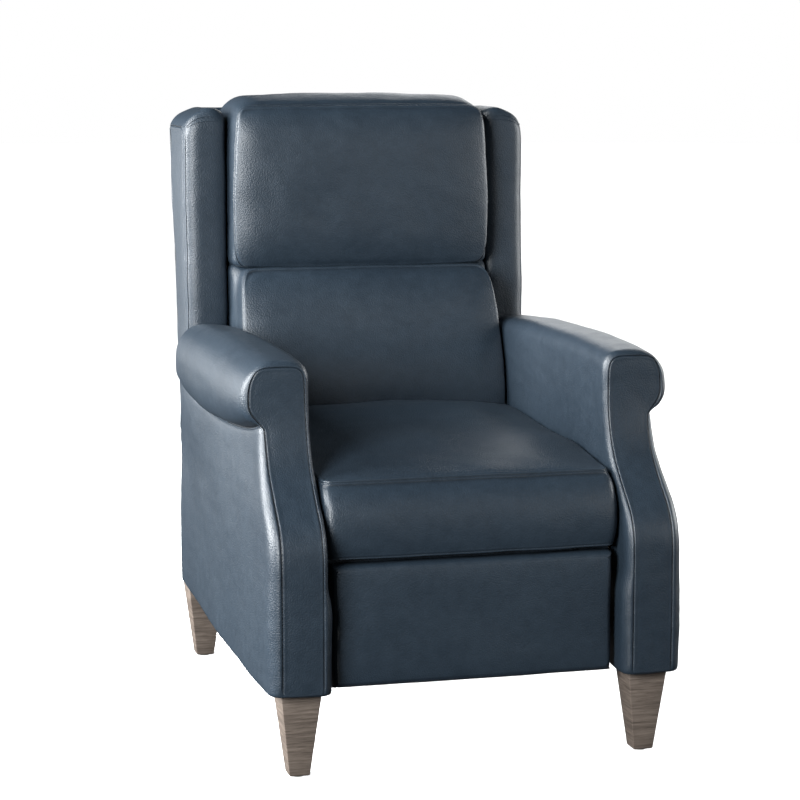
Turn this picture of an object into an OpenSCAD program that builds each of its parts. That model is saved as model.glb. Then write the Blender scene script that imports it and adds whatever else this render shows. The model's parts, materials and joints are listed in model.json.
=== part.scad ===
// Push-back recliner armchair with wings, rolled arms and a folding footrest.
// X runs to the sitter's left and right, the front faces -Y, and Z = 0 is the floor.

/* [Legs] */
// Height of the wooden legs, floor to underside of the body
leg_h = 145; // [120:1:180]
// Side of the square leg at its top
leg_top = 69; // [55:1:72]
// Side of the square leg at its foot
leg_foot = 35; // [28:1:50]

/* [Arms] */
// Distance from the centre plane to the inner face of each arm
arm_inner_x = 262; // [262:1:268]
// Width of an arm panel at its widest, near the front
arm_w = 102; // [96:1:106]
// Height of the flat top of the arm panel, under the padded roll
arm_top_z = 590; // [575:1:600]
// Height of the top of the padded arm roll
roll_top_z = 700; // [680:1:715]
// How far the padded roll overhangs the arm panel's outer edge
roll_overhang = 36; // [26:1:42]

/* [Back] */
// Height of the top of the wings
wing_top_z = 1098; // [1080:1:1110]
// Height of the top of the head cushion
head_top_z = 1122; // [1114:1:1135]
// Half width of the head and lumbar cushions
cushion_half_w = 258; // [240:1:258]

/* [Motion] */
// Height of the back's pivot
pivot_z = 262; // [255:1:268]
// Radius of the back's pivot studs
pivot_r = 8; // [6:0.5:10]
// Radial running clearance of every pivot
running_gap = 0.05; // [0.02:0.01:0.1]
// Radius of the footrest linkage pins
link_pin_r = 5; // [4:0.5:5]
// Length of the footrest's main and guide links, pivot to pivot
link_l = 150; // [145:1:152]

/* [Hidden] */

big = 3000;
bore_fn = 48;

leather = [0.25, 0.31, 0.37];
leg_wood = [0.43, 0.39, 0.36];
frame_wood = [0.74, 0.62, 0.45];
steel = [0.33, 0.34, 0.36];
zinc = [0.66, 0.67, 0.69];
nylon = [0.88, 0.87, 0.82];
black_cloth = [0.12, 0.12, 0.13];

// Plan of the base
front_y = -515;
arm_rear_y = 430;
leg_x = 306;
leg_ys = [-462.5, 395];
arm_outer_x = arm_inner_x + arm_w;
arm_neck_x = arm_outer_x - 14;

// Side profile of the arm: an S-curved front, and a slanted upper rear edge that the wing rests beside
swoop_bottom_z = 372;
swoop_top_y = front_y + 137;
slant_top = [316, 558];
slant_foot = [arm_rear_y, 441];
slant = (slant_top[1] - slant_foot[1]) / (slant_foot[0] - slant_top[0]);
wing_gap_z = 7.5;

// Back: its rear face leans, then flares out below kick_z to meet the arms. Its outside panel is padded.
back_lean = 0.1655;
back_shoulder_z = 1060;
back_rear_y = 515;
kick_z = 600;
back_foot_z = 488;
wing_foot_y = 421;
panel_t = 14;
pivot_y = 285;

// Seat carriage
deck_z = 368;
rail_top_z = 366;
rail_bottom_z = 330;
seat_front_y = -432;
seat_rear_y = 250;
side_rail_x = [232, 256];
cushion_rear_y = 157;

// Slides: a steel channel on each arm, and nylon blocks on the carriage that run in it
channel_z = [298, 330];
channel_t = 2.5;
channel_lip_x = 243;
channel_y = [-270, 235];
bracket_plate_x = 257;
slide_gap = 0.2;
block_ys = [-215, 110];
cross_tube_ys = [-236, 92];
bolt_r = 4;
bolt_head_r = 7;
channel_bolt_ys = [-240, 0, 205];
channel_bolt_z = 314;
bracket_bolt_zs = [pivot_z - 22, pivot_z + 22];

// Footrest linkage, seen from the side as [y, z]
seat_pivot = [-388, 318];
stowed_angle = -60;
elbow = seat_pivot + link_l * [cos(stowed_angle), sin(stowed_angle)];
panel_pivot = [-428, 285];
guide_shift = [22.9, -19.3];
link_t = 4;
link_half_w = 7.5;
link_eye_r = 10;
// How far a link's straight bar runs past its end bores, inside the round eyes
link_bar_over = 6.3;
// How far a rivet's head stands out round its pin
rivet_lip = 2;
// Distance from the centre plane to the inner face of each layer of links
carrier_x = 216;
main_x = 222;
bracket_x = 228;
guide_x = 234;

// Footrest panel
panel_z = [leg_h + 1, 357];
panel_half_w = 246.5;
panel_front_y = -480;
board_y = [-458, -442];

function rear_y(z) =
    back_rear_y - back_lean * (back_shoulder_z - z) + 22 * pow(max(0, kick_z - z) / 150, 2);
// Points down the back's rear face, drawn in by the given distance
function rear_line(top_z, low_z, inset) = concat(
    [[rear_y(top_z) - inset, top_z]],
    [for (z = [kick_z:-30:low_z + 5]) [rear_y(z) - inset, z]]
);
function wing_edge_z(y) = slant_foot[1] + (arm_rear_y - y) * slant + wing_gap_z;
function swoop_y(t) = front_y + (swoop_top_y - front_y) * (1 - cos(180 * pow(t, 0.92))) / 2;
function arc(c, r, a0, a1, n) = [for (i = [0:n]) c + r * [cos(a0 + (a1 - a0) * i / n), sin(a0 + (a1 - a0) * i / n)]];

// Draws a sub-part on the right, or its mirror image on the left
module side(s) {
    mirror([s < 0 ? 1 : 0, 0, 0]) children();
}

// Extrudes an outline given as [y, z] points across X
module across(x0, x1) {
    translate([x0, 0, 0]) rotate([90, 0, 90]) linear_extrude(x1 - x0) children();
}

// Extrudes an outline given as [x, z] points along Y
module along(y0, y1) {
    translate([0, y1, 0]) rotate([90, 0, 0]) linear_extrude(y1 - y0) children();
}

// A bore, pin or tube across X at the side-view point p
module pin(p, x0, x1, r) {
    translate([x0, p[0], p[1]]) rotate([0, 90, 0]) cylinder(r = r, h = x1 - x0, $fn = bore_fn);
}

// A box between two corners
module box(a, b) {
    translate(a) cube(b - a);
}

// Skins a list of closed rings, all with the same number of points
module loft(rings) {
    n = len(rings[0]);
    last = len(rings) - 1;
    polyhedron(
        points = [for (ring = rings) each ring],
        faces = concat(
            [[for (i = [0:n - 1]) i]],
            [for (k = [0:last - 1], i = [0:n - 1])
                [k * n + i, (k + 1) * n + i, (k + 1) * n + (i + 1) % n, k * n + (i + 1) % n]],
            [[for (i = [n - 1:-1:0]) last * n + i]]
        )
    );
}

// A round wire of radius r swept along a path that lies in the plane with normal nrm
module wire(path, r, nrm) {
    sides = 6;
    last = len(path) - 1;
    loft([for (k = [0:last])
        let (d = path[min(k + 1, last)] - path[max(k - 1, 0)], t = d / norm(d), b = cross(t, nrm))
        [for (i = [0:sides - 1]) path[k] + r * (cos(-360 * i / sides) * nrm + sin(-360 * i / sides) * b)]
    ]);
}

// A zigzag spring from a to b, its waves going to either side along w
function zigzag(a, b, w, waves) = [for (i = [0:4 * waves])
    let (t = i / (4 * waves)) a + (b - a) * t + w * sin(360 * waves * t) * min(1, 8 * t, 8 * (1 - t))];

// A flat steel link between two side-view points, with a round eye at each end, and bores
module link(p, q, x0, bores) {
    d = (q - p) / norm(q - p);
    n = link_half_w * [-d[1], d[0]];
    a = p - link_bar_over * d;
    b = q + link_bar_over * d;
    difference() {
        union() {
            across(x0, x0 + link_t) polygon([a + n, b + n, b - n, a - n]);
            for (e = [p, q]) across(x0, x0 + link_t) translate(e) circle(r = link_eye_r, $fn = bore_fn);
        }
        for (hole = bores) pin(hole[0], x0 - 1, x0 + link_t + 1, hole[1]);
    }
}

// ---- Legs ----

module leg(x, y) {
    glide_z = 3;
    color(leg_wood) difference() {
        translate([x, y, glide_z]) rotate([0, 0, 45])
            cylinder(d1 = leg_foot * sqrt(2), d2 = leg_top * sqrt(2), h = leg_h - glide_z, $fn = 4);
        translate([x, y, leg_h - 50]) cylinder(r = bolt_r + running_gap, h = 51, $fn = bore_fn);
    }
}

module leg_bolts() {
    color(zinc) for (x = [-leg_x, leg_x], y = leg_ys)
        translate([x, y, leg_h - 48]) cylinder(r = bolt_r, h = 48 + 30, $fn = bore_fn);
}

module leg_glides() {
    color(nylon) for (x = [-leg_x, leg_x], y = leg_ys)
        translate([x, y, 0]) cylinder(r1 = 10, r2 = 12, h = 3, $fn = bore_fn);
}

// ---- Arms and base ----

// Side outline of the arm, drawn in by the given distance
module arm_outline(inset) {
    steps = 10;
    top_z = arm_top_z - inset;
    polygon(concat(
        [[front_y + inset, leg_h - (inset > 0 ? 1 : 0)], [front_y + inset, swoop_bottom_z - inset]],
        [for (i = [1:steps])
            [swoop_y(i / steps) + inset, swoop_bottom_z - inset + (arm_top_z - swoop_bottom_z) * i / steps]],
        [[slant_top[0] - 4 - inset, top_z], [slant_top[0] - inset, slant_top[1] - inset / 2],
            [arm_rear_y - inset, slant_foot[1] - inset / 2],
            [arm_rear_y - inset, leg_h - (inset > 0 ? 1 : 0)]]
    ));
}

// Plan outline of the arm: its outer side bows, and its front corners are rounded
module arm_plan() {
    corner = 25;
    bow = 21;
    steps = 6;
    y0 = front_y + corner;
    polygon(concat(
        [[arm_inner_x, arm_rear_y], [arm_inner_x, front_y + 9]],
        arc([arm_inner_x + 9, front_y + 9], 9, 180, 270, 3),
        arc([arm_outer_x - corner, y0], corner, 270, 360, 5),
        [for (i = [1:steps]) [arm_outer_x - bow * pow(i / steps, 1.6), y0 + (arm_rear_y - y0) * i / steps]]
    ));
}

frame_inset = 24;
frame_x = [284, 334];
frame_play = 0.5;
arm_board_t = 18;

// Clear holes for the channel and bracket bolts, from the arm's inner face into its frame
module channel_bolt_holes(r) {
    deep_x = frame_x[0] + arm_board_t + 1;
    for (y = channel_bolt_ys) pin([y, channel_bolt_z], arm_inner_x - 1, deep_x, r);
    for (z = bracket_bolt_zs) pin([pivot_y, z], arm_inner_x - 1, deep_x, r);
}

module arm_cover(s) {
    color(leather) side(s) difference() {
        intersection() {
            across(arm_inner_x, arm_outer_x) arm_outline(0);
            translate([0, 0, leg_h]) linear_extrude(big) arm_plan();
            along(front_y, arm_rear_y) polygon([[arm_inner_x, leg_h], [arm_outer_x, leg_h],
                [arm_neck_x, arm_top_z], [arm_inner_x, arm_top_z]]);
        }
        across(frame_x[0] - frame_play, frame_x[1] + frame_play) arm_outline(frame_inset - frame_play);
        channel_bolt_holes(bolt_r + 0.3);
    }
}

module arm_frame(s) {
    post = 45;
    base_t = 30;
    board_x = frame_x[0] + arm_board_t;
    color(frame_wood) side(s) difference() {
        union() {
            across(frame_x[0], board_x) difference() {
                intersection() {
                    arm_outline(frame_inset);
                    translate([-big, leg_h]) square([2 * big, big]);
                }
                translate([-440, 185]) square([600, 95]);
                polygon([[-425, 350], [-320, 520], [240, 520], [340, 420], [340, 350]]);
            }
            box([board_x, front_y + frame_inset, leg_h], [frame_x[1], front_y + frame_inset + post, 345]);
            box([board_x, arm_rear_y - frame_inset - post, leg_h], [frame_x[1], arm_rear_y - frame_inset, 425]);
            box([board_x, front_y + frame_inset + post, leg_h],
                [frame_x[1], arm_rear_y - frame_inset - post, leg_h + base_t]);
            box([board_x, -330, arm_top_z - frame_inset - 20], [frame_x[1], 285, arm_top_z - frame_inset]);
        }
        for (y = leg_ys)
            translate([leg_x, y, leg_h - 1]) cylinder(r = bolt_r + running_gap, h = 31, $fn = bore_fn);
        channel_bolt_holes(bolt_r + running_gap);
    }
}

// One section of the padded roll: a round top, and a lobe that hangs outside the arm panel
function roll_ring(y, out_x, top_z, lobe_z) =
    let (mid_z = 626, half = (out_x - arm_inner_x) / 2, neck_x = arm_neck_x + 3)
    [for (p = concat(
        [[arm_inner_x, arm_top_z]],
        [for (a = [180:-18:0]) [arm_inner_x + half + half * cos(a), mid_z + (top_z - mid_z) * sin(a)]],
        [for (a = [-22:-22:-88])
            [neck_x + 8 + (out_x - neck_x - 8) * cos(a), mid_z + (mid_z - lobe_z) * sin(a)]],
        [[neck_x, lobe_z + 8], [neck_x - 2, arm_top_z]]
    )) [p[0], y, p[1]]];

module arm_roll(s) {
    out_x = arm_neck_x + roll_overhang;
    color(leather) side(s) loft([
        roll_ring(-383, out_x - 18, roll_top_z - 18, 584),
        roll_ring(-372, out_x - 8, roll_top_z - 9, 576),
        roll_ring(-335, out_x - 1, roll_top_z - 5, 568),
        roll_ring(-250, out_x + 1, roll_top_z - 2, 560),
        roll_ring(-120, out_x + 1, roll_top_z, 552),
        roll_ring(30, out_x, roll_top_z - 1, 548),
        roll_ring(160, out_x - 2, roll_top_z - 4, 552),
        roll_ring(255, out_x - 6, roll_top_z - 10, 560),
        roll_ring(292, out_x - 14, roll_top_z - 22, 572),
        roll_ring(311, out_x - 28, roll_top_z - 42, 585)
    ]);
}

module base_rail_front() {
    color(frame_wood) box([-arm_inner_x, -268, 150], [arm_inner_x, -246, 215]);
}

rear_panel_y = arm_rear_y - panel_t;

module base_rail_rear() {
    color(frame_wood) box([-arm_inner_x, rear_panel_y - 22, 150], [arm_inner_x, rear_panel_y, 210]);
}

module rear_panel_rail() {
    color(frame_wood) box([-arm_inner_x, rear_panel_y - 22, 360], [arm_inner_x, rear_panel_y, 400]);
}

module rear_panel() {
    color(leather) box([-arm_inner_x, rear_panel_y, leg_h + 2], [arm_inner_x, arm_rear_y, 425]);
}

// ---- Slides and pivots fixed to the arms ----

module channel(s) {
    wall_x = arm_inner_x - channel_t;
    color(steel) side(s) difference() {
        box([channel_lip_x, channel_y[0], channel_z[0]], [arm_inner_x, channel_y[1], channel_z[1]]);
        box([channel_lip_x - 1, channel_y[0] - 1, channel_z[0] + channel_t],
            [wall_x, channel_y[1] + 1, channel_z[1] - channel_t]);
        for (y = channel_bolt_ys)
            pin([y, channel_bolt_z], wall_x - 1, arm_inner_x + 1, bolt_r + running_gap);
    }
}

module cross_tubes() {
    wall = 1.5;
    tube = 25;
    color(steel) for (y = cross_tube_ys)
        difference() {
            box([-arm_inner_x, y, channel_z[0] - tube], [arm_inner_x, y + tube, channel_z[0]]);
            box([-arm_inner_x - 1, y + wall, channel_z[0] - tube + wall],
                [arm_inner_x + 1, y + tube - wall, channel_z[0] - wall]);
        }
}

module channel_bolts() {
    wall_x = arm_inner_x - channel_t;
    tip_x = frame_x[0] + arm_board_t;
    color(zinc) for (s = [-1, 1]) side(s) {
        for (y = channel_bolt_ys) {
            pin([y, channel_bolt_z], wall_x, tip_x, bolt_r);
            pin([y, channel_bolt_z], wall_x - 0.8, wall_x, bolt_head_r);
        }
        for (z = bracket_bolt_zs) {
            pin([pivot_y, z], bracket_plate_x, tip_x, bolt_r);
            pin([pivot_y, z], bracket_plate_x - 3, bracket_plate_x, bolt_head_r);
        }
    }
}

// Plate bolted to the arm, with the stud that the back turns on
module pivot_bracket(s) {
    plate_x = bracket_plate_x;
    color(steel) side(s) {
        difference() {
            box([plate_x, pivot_y - 18, pivot_z - 35], [arm_inner_x, pivot_y + 18, pivot_z + 35]);
            for (z = bracket_bolt_zs)
                pin([pivot_y, z], plate_x - 1, arm_inner_x + 1, bolt_r + running_gap);
        }
        pin([pivot_y, pivot_z], 244, plate_x, pivot_r);
        pin([pivot_y, pivot_z], 240, 244, pivot_r + 4);
    }
}

// ---- Seat carriage ----

module seat_rail_front() {
    color(frame_wood) box([-side_rail_x[0], seat_front_y, rail_bottom_z],
        [side_rail_x[0], seat_front_y + 27, rail_top_z - 6]);
}

module seat_rail_rear() {
    color(frame_wood) box([-side_rail_x[0], seat_rear_y - 25, rail_bottom_z],
        [side_rail_x[0], seat_rear_y, rail_top_z - 6]);
}

module seat_rail(s) {
    color(frame_wood) side(s) box([side_rail_x[0], seat_front_y, rail_bottom_z + 4],
        [side_rail_x[1], seat_rear_y, rail_top_z]);
}

spring_xs = [-172, -86, 0, 86, 172];
spring_r = 1.9;
spring_z = rail_top_z - 3.2;

module seat_springs() {
    color(steel) for (x = spring_xs)
        wire(zigzag([x, seat_front_y + 8, spring_z], [x, seat_rear_y - 8, spring_z], [22, 0, 0], 12),
            spring_r, [0, 0, 1]);
}

// Folded steel clips that hold the spring ends down on the front and rear rails
module spring_clips() {
    clip_w = 16;
    gap = spring_r + 0.2;
    color(zinc) for (x = spring_xs, end = [[seat_front_y + 6, 1], [seat_rear_y - 6, -1]])
        translate([x, end[0], 0]) mirror([0, end[1] < 0 ? 1 : 0, 0]) difference() {
            box([-clip_w / 2, 0, rail_top_z - 6], [clip_w / 2, clip_w, rail_top_z - 0.2]);
            box([-clip_w / 2 - 1, 1.5, spring_z - gap], [clip_w / 2 + 1, clip_w + 1, spring_z + gap]);
        }
}

module seat_deck() {
    color(black_cloth) box([-side_rail_x[1], seat_front_y, rail_top_z], [side_rail_x[1], seat_rear_y, deck_z]);
}

module seat_cushion() {
    half_w = cushion_half_w;
    corner = 22;
    nose_y = -476;
    color(leather) intersection() {
        across(-half_w, half_w) polygon(concat(
            [[cushion_rear_y, deck_z], [-466, deck_z]],
            [[nose_y, deck_z + 12], [nose_y + 2, 430], [nose_y + 18, 482], [nose_y + 40, 502],
                [-370, 514], [-220, 528], [-60, 536], [60, 539], [cushion_rear_y - 14, 538],
                [cushion_rear_y, 520]]
        ));
        linear_extrude(big) polygon(concat(
            [[half_w, cushion_rear_y], [-half_w, cushion_rear_y]],
            arc([-half_w + corner, nose_y + corner], corner, 180, 270, 4),
            arc([half_w - corner, nose_y + corner], corner, 270, 360, 4)
        ));
    }
}

// Steel angle under each side rail that carries the nylon blocks
module slide_bar(s) {
    web_x = 236;
    t = 3;
    y0 = -300;
    y1 = 215;
    color(steel) side(s) {
        box([web_x, y0, rail_bottom_z + 1], [side_rail_x[1], y1, rail_bottom_z + 4]);
        box([web_x, y0, channel_z[0] + 1], [web_x + t, y1, rail_bottom_z + 1]);
    }
}

module glide_blocks() {
    z0 = channel_z[0] + channel_t + slide_gap;
    z1 = channel_z[1] - channel_t - slide_gap;
    color(nylon) for (s = [-1, 1], y = block_ys)
        side(s) box([239, y, z0], [arm_inner_x - channel_t - 1.5, y + 45, z1]);
}

// ---- Footrest linkage ----

// Steel plate on the seat rail: it holds the main link's pin inside and the guide link's pin outside
module link_bracket(s) {
    guide_pivot = seat_pivot + guide_shift;
    color(steel) side(s) {
        box([bracket_x, -404, 288], [bracket_x + link_t, -346, 362]);
        pin(seat_pivot, carrier_x + 3.5, bracket_x, link_pin_r);
        pin(seat_pivot, carrier_x + 1, carrier_x + 3.5, link_pin_r + rivet_lip);
        pin(guide_pivot, bracket_x + link_t, guide_x + link_t + 1, link_pin_r);
        pin(guide_pivot, guide_x + link_t + 1, guide_x + link_t + 3, link_pin_r + rivet_lip);
    }
}

// The cross tube's place along the main links, from the seat pivot
tube_along = 92;
tube_at = seat_pivot + tube_along * [cos(stowed_angle), sin(stowed_angle)];
tube_r = 10;

module main_link(s) {
    color(steel) side(s) {
        link(seat_pivot, elbow, main_x, [[seat_pivot, link_pin_r + running_gap]]);
        pin(elbow, carrier_x - 1, main_x, link_pin_r);
        pin(elbow, carrier_x - 3, carrier_x - 1, link_pin_r + rivet_lip);
    }
}

// Tube welded between the two main links, so both sides of the footrest move together
module link_cross_tube() {
    color(steel) difference() {
        pin(tube_at, -main_x, main_x, tube_r);
        pin(tube_at, -main_x - 1, main_x + 1, tube_r - 1.5);
    }
}

// The guide link runs parallel to the main link. Its far bore is open by guide_play.
module guide_link(s) {
    guide_play = 1;
    a = seat_pivot + guide_shift;
    b = elbow + guide_shift;
    color(steel) side(s)
        link(a, b, guide_x, [[a, link_pin_r + running_gap], [b, link_pin_r + guide_play]]);
}

// The carrier link holds the panel's pivot at its front end and the guide link's pin at its tail
module carrier_link(s) {
    tail = elbow + guide_shift;
    color(steel) side(s) {
        link(panel_pivot, tail, carrier_x, [[elbow, link_pin_r + running_gap]]);
        pin(panel_pivot, carrier_x + link_t, main_x + link_t + 1, link_pin_r);
        pin(panel_pivot, main_x + link_t + 1, main_x + link_t + 3, link_pin_r + rivet_lip);
        pin(tail, carrier_x + link_t, guide_x + link_t + 1, link_pin_r);
        pin(tail, guide_x + link_t + 1, guide_x + link_t + 3, link_pin_r + rivet_lip);
    }
}

module footrest_bracket(s) {
    foot_t = 3;
    z0 = 255;
    z1 = 320;
    color(steel) side(s) difference() {
        union() {
            box([196, board_y[1], z0], [main_x + link_t, board_y[1] + foot_t, z1]);
            box([main_x, board_y[1], panel_pivot[1] - 12],
                [main_x + link_t, panel_pivot[0], panel_pivot[1] + 12]);
            pin(panel_pivot, main_x, main_x + link_t, 12);
        }
        pin(panel_pivot, main_x - 1, main_x + link_t + 1, link_pin_r + running_gap);
    }
}

module footrest_board() {
    edge = 7;
    color(frame_wood) box([-panel_half_w + edge, board_y[0], panel_z[0] + edge],
        [panel_half_w - edge, board_y[1], panel_z[1] - edge]);
}

// Padded leather cover: a front pad with sides that wrap round the board
module footrest_pad() {
    edge = 7;
    round_r = 10;
    color(leather) difference() {
        intersection() {
            along(panel_front_y, board_y[1] - 1) polygon([
                [-panel_half_w, panel_z[0]], [panel_half_w, panel_z[0]],
                [panel_half_w, panel_z[1]], [-panel_half_w, panel_z[1]]]);
            across(-panel_half_w, panel_half_w) polygon(concat(
                [[board_y[1], panel_z[0]], [board_y[1], panel_z[1]]],
                arc([panel_front_y + round_r, panel_z[1] - round_r], round_r, 90, 180, 3),
                arc([panel_front_y + round_r, panel_z[0] + round_r], round_r, 180, 270, 3)
            ));
            linear_extrude(big) polygon(concat(
                [[panel_half_w, board_y[1]], [-panel_half_w, board_y[1]]],
                arc([-panel_half_w + round_r, panel_front_y + round_r], round_r, 180, 270, 3),
                arc([panel_half_w - round_r, panel_front_y + round_r], round_r, 270, 360, 3)
            ));
        }
        box([-panel_half_w + edge, board_y[0], panel_z[0] + edge],
            [panel_half_w - edge, board_y[1] + 1, panel_z[1] - edge]);
    }
}

// ---- Back ----

board_x = [227, 245];
board_front = [[258, back_foot_z], [345, 800], [400, 1062]];
strap_bolt_zs = [506, 530];
strap_x = [246, 251];

module back_board(s) {
    top_z = board_front[2][1];
    color(frame_wood) side(s) difference() {
        across(board_x[0], board_x[1]) polygon(concat(
            board_front, rear_line(top_z, back_foot_z, panel_t),
            [[rear_y(back_foot_z) - panel_t, back_foot_z]]));
        for (z = strap_bolt_zs) pin([pivot_y + 2, z], board_x[0] - 1, board_x[1] + 1, bolt_r + running_gap);
    }
}

module back_rails() {
    rail = 40;
    half = board_x[0];
    color(frame_wood) for (z = [back_foot_z, 790, board_front[2][1] - rail])
        box([-half, rear_y(z) - panel_t - 30, z], [half, rear_y(z) - panel_t - 4, z + rail]);
}

module back_springs() {
    lower = [back_foot_z + 20, board_front[2][1] - 20];
    w = [18, 0, 0];
    set_in = 46;
    color(steel) for (x = [-150, -50, 50, 150]) {
        a = [x, rear_y(lower[0]) - panel_t - set_in, lower[0]];
        b = [x, rear_y(lower[1]) - panel_t - set_in, lower[1]];
        d = (b - a) / norm(b - a);
        wire(zigzag(a, b, w, 10), spring_r, cross([1, 0, 0], d));
    }
}

// Steel strap that hangs the back on its pivot stud
module back_strap(s) {
    half = 18;
    top_z = 543;
    color(steel) side(s) difference() {
        union() {
            box([strap_x[0], pivot_y - half, pivot_z], [strap_x[1], pivot_y + half, top_z]);
            box([board_x[1], pivot_y - half, back_foot_z + 5], [strap_x[0], pivot_y + half, top_z]);
            pin([pivot_y, pivot_z], strap_x[0], strap_x[1], half);
        }
        pin([pivot_y, pivot_z], strap_x[0] - 1, strap_x[1] + 1, pivot_r + running_gap);
        for (z = strap_bolt_zs) pin([pivot_y + 2, z], board_x[1] - 1, strap_x[1] + 1, bolt_r + running_gap);
    }
}

module back_bolts() {
    color(zinc) for (s = [-1, 1], z = strap_bolt_zs) side(s) {
        pin([pivot_y + 2, z], board_x[0] - 6, strap_x[1], bolt_r);
        pin([pivot_y + 2, z], strap_x[1], strap_x[1] + 3, bolt_head_r);
        pin([pivot_y + 2, z], board_x[0] - 5, board_x[0], 6.5);
    }
}

wing_x = [262, 345];
wing_front_y = 325;
// Top edge of a wing, from its inner side outwards, as [x, z]
wing_crest = [[wing_x[1] - 60, wing_top_z], [wing_x[1] - 35, wing_top_z - 6],
    [wing_x[1] - 15, wing_top_z - 17], [wing_x[1], wing_top_z - 41]];

module outside_back() {
    half_w = wing_x[1] - 2;
    low_y = wing_foot_y + panel_t - 1;
    low_z = wing_edge_z(low_y);
    color(leather) intersection() {
        across(-half_w, half_w) polygon(concat(
            [[back_rear_y - panel_t, wing_top_z], [back_rear_y - 6, wing_top_z - 8],
                [back_rear_y, back_shoulder_z]],
            rear_line(back_shoulder_z, low_z, 0),
            [[low_y, low_z], [wing_foot_y, wing_edge_z(wing_foot_y)]],
            [for (z = [480:30:kick_z]) [rear_y(z) - panel_t, z]],
            [[rear_y(back_shoulder_z) - panel_t, back_shoulder_z]]
        ));
        along(0, big) polygon(concat(
            [[-half_w, 0], [half_w, 0]],
            [for (i = [3:-1:0]) [wing_crest[i][0] - 2, wing_crest[i][1]]],
            [for (i = [0:3]) [2 - wing_crest[i][0], wing_crest[i][1]]]
        ));
    }
}

// Side outline of the wing, drawn in by the given distance
module wing_outline(inset) {
    polygon(concat(
        [[wing_front_y + 7 + inset, wing_top_z - inset],
            [wing_front_y + inset, wing_edge_z(wing_front_y) + inset],
            [wing_foot_y - inset, wing_edge_z(wing_foot_y) + 2.6 * inset]],
        inset > 0 ? [] : [for (z = [480:30:kick_z]) [rear_y(z) - panel_t, z]],
        [[rear_y(back_shoulder_z) - panel_t - inset, back_shoulder_z - inset],
            [back_rear_y - panel_t - inset, wing_top_z - inset]]
    ));
}

module wing(s) {
    corner = 20;
    color(leather) side(s) difference() {
        intersection() {
            across(wing_x[0], wing_x[1]) wing_outline(0);
            linear_extrude(big) polygon(concat(
                [[wing_x[1], 600], [wing_x[0], 600], [wing_x[0], wing_front_y]],
                arc([wing_x[1] - corner, wing_front_y + corner], corner, 270, 360, 4)
            ));
            along(0, big) polygon(concat(
                [[wing_x[0], wing_top_z]], wing_crest, [[wing_x[1], 400], [wing_x[0], 400]]));
        }
        across(wing_x[0] + 17.5, wing_x[0] + 36.5) wing_outline(23.5);
    }
}

module wing_boards() {
    color(frame_wood) for (s = [-1, 1])
        side(s) across(wing_x[0] + 18, wing_x[0] + 36) wing_outline(24);
}

// Blocks that space the wings off the back's side boards
module wing_spacers() {
    color(frame_wood) for (s = [-1, 1], z = [620, 960])
        side(s) box([board_x[1], rear_y(z) - 60, z], [wing_x[0], rear_y(z) - 20, z + 60]);
}

module lumbar_cushion() {
    half_w = cushion_half_w - 1;
    bottom_z = 396;
    top_z = 788;
    color(leather) intersection() {
        across(-half_w, half_w) polygon([
            [230, bottom_z], [180, bottom_z], [168, 430], [160, 500], [161, 560], [172, 610],
            [192, 655], [212, 710], [232, 755], [252, 780], [275, top_z], [328, top_z],
            [board_front[0][0] - 7, back_foot_z]
        ]);
        along(0, 600) polygon([
            [-half_w, bottom_z], [half_w, bottom_z], [half_w, 690], [half_w - 6, 750],
            [half_w - 22, top_z], [-half_w + 22, top_z], [-half_w + 6, 750], [-half_w, 690]
        ]);
    }
}

module head_cushion() {
    half_w = cushion_half_w + 1;
    low_z = 791;
    shoulder_z = board_front[2][1] + 4;
    corner = 34;
    color(leather) intersection() {
        across(-half_w, half_w) polygon([
            [336, low_z], [300, low_z], [284, 808], [276, 860], [275, 960], [280, 1050],
            [291, 1090], [312, 1112], [350, head_top_z], [440, head_top_z], [480, 1112],
            [498, 1085], [498, shoulder_z], [393, shoulder_z]
        ]);
        along(0, 600) polygon(concat(
            arc([-half_w + corner, low_z + 18], 18, 180, 270, 2),
            arc([half_w - 18, low_z + 18], 18, 270, 360, 2),
            arc([half_w - corner, head_top_z - corner], corner, 0, 90, 4),
            arc([-half_w + corner, head_top_z - corner], corner, 90, 180, 4)
        ));
    }
}

leg(-leg_x, leg_ys[0]);  // leg_front_left
leg(leg_x, leg_ys[0]);  // leg_front_right
leg(-leg_x, leg_ys[1]);  // leg_rear_left
leg(leg_x, leg_ys[1]);  // leg_rear_right
leg_bolts();
leg_glides();
arm_frame(-1);  // arm_frame_left
arm_frame(1);  // arm_frame_right
arm_cover(-1);  // arm_cover_left
arm_cover(1);  // arm_cover_right
arm_roll(-1);  // arm_roll_left
arm_roll(1);  // arm_roll_right
base_rail_front();
base_rail_rear();
rear_panel_rail();
rear_panel();
channel(-1);  // channel_left
channel(1);  // channel_right
cross_tubes();
channel_bolts();
pivot_bracket(-1);  // pivot_bracket_left
pivot_bracket(1);  // pivot_bracket_right
seat_rail_front();
seat_rail_rear();
seat_rail(-1);  // seat_rail_left
seat_rail(1);  // seat_rail_right
seat_springs();
spring_clips();
seat_deck();
seat_cushion();
slide_bar(-1);  // slide_bar_left
slide_bar(1);  // slide_bar_right
glide_blocks();
link_bracket(-1);  // link_bracket_left
link_bracket(1);  // link_bracket_right
main_link(-1);  // main_link_left
main_link(1);  // main_link_right
link_cross_tube();
guide_link(-1);  // guide_link_left
guide_link(1);  // guide_link_right
carrier_link(-1);  // carrier_link_left
carrier_link(1);  // carrier_link_right
footrest_bracket(-1);  // footrest_bracket_left
footrest_bracket(1);  // footrest_bracket_right
footrest_board();
footrest_pad();
back_board(-1);  // back_board_left
back_board(1);  // back_board_right
back_rails();
back_springs();
back_strap(-1);  // back_strap_left
back_strap(1);  // back_strap_right
back_bolts();
outside_back();
wing(-1);  // wing_left
wing(1);  // wing_right
wing_boards();
wing_spacers();
lumbar_cushion();
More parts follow.
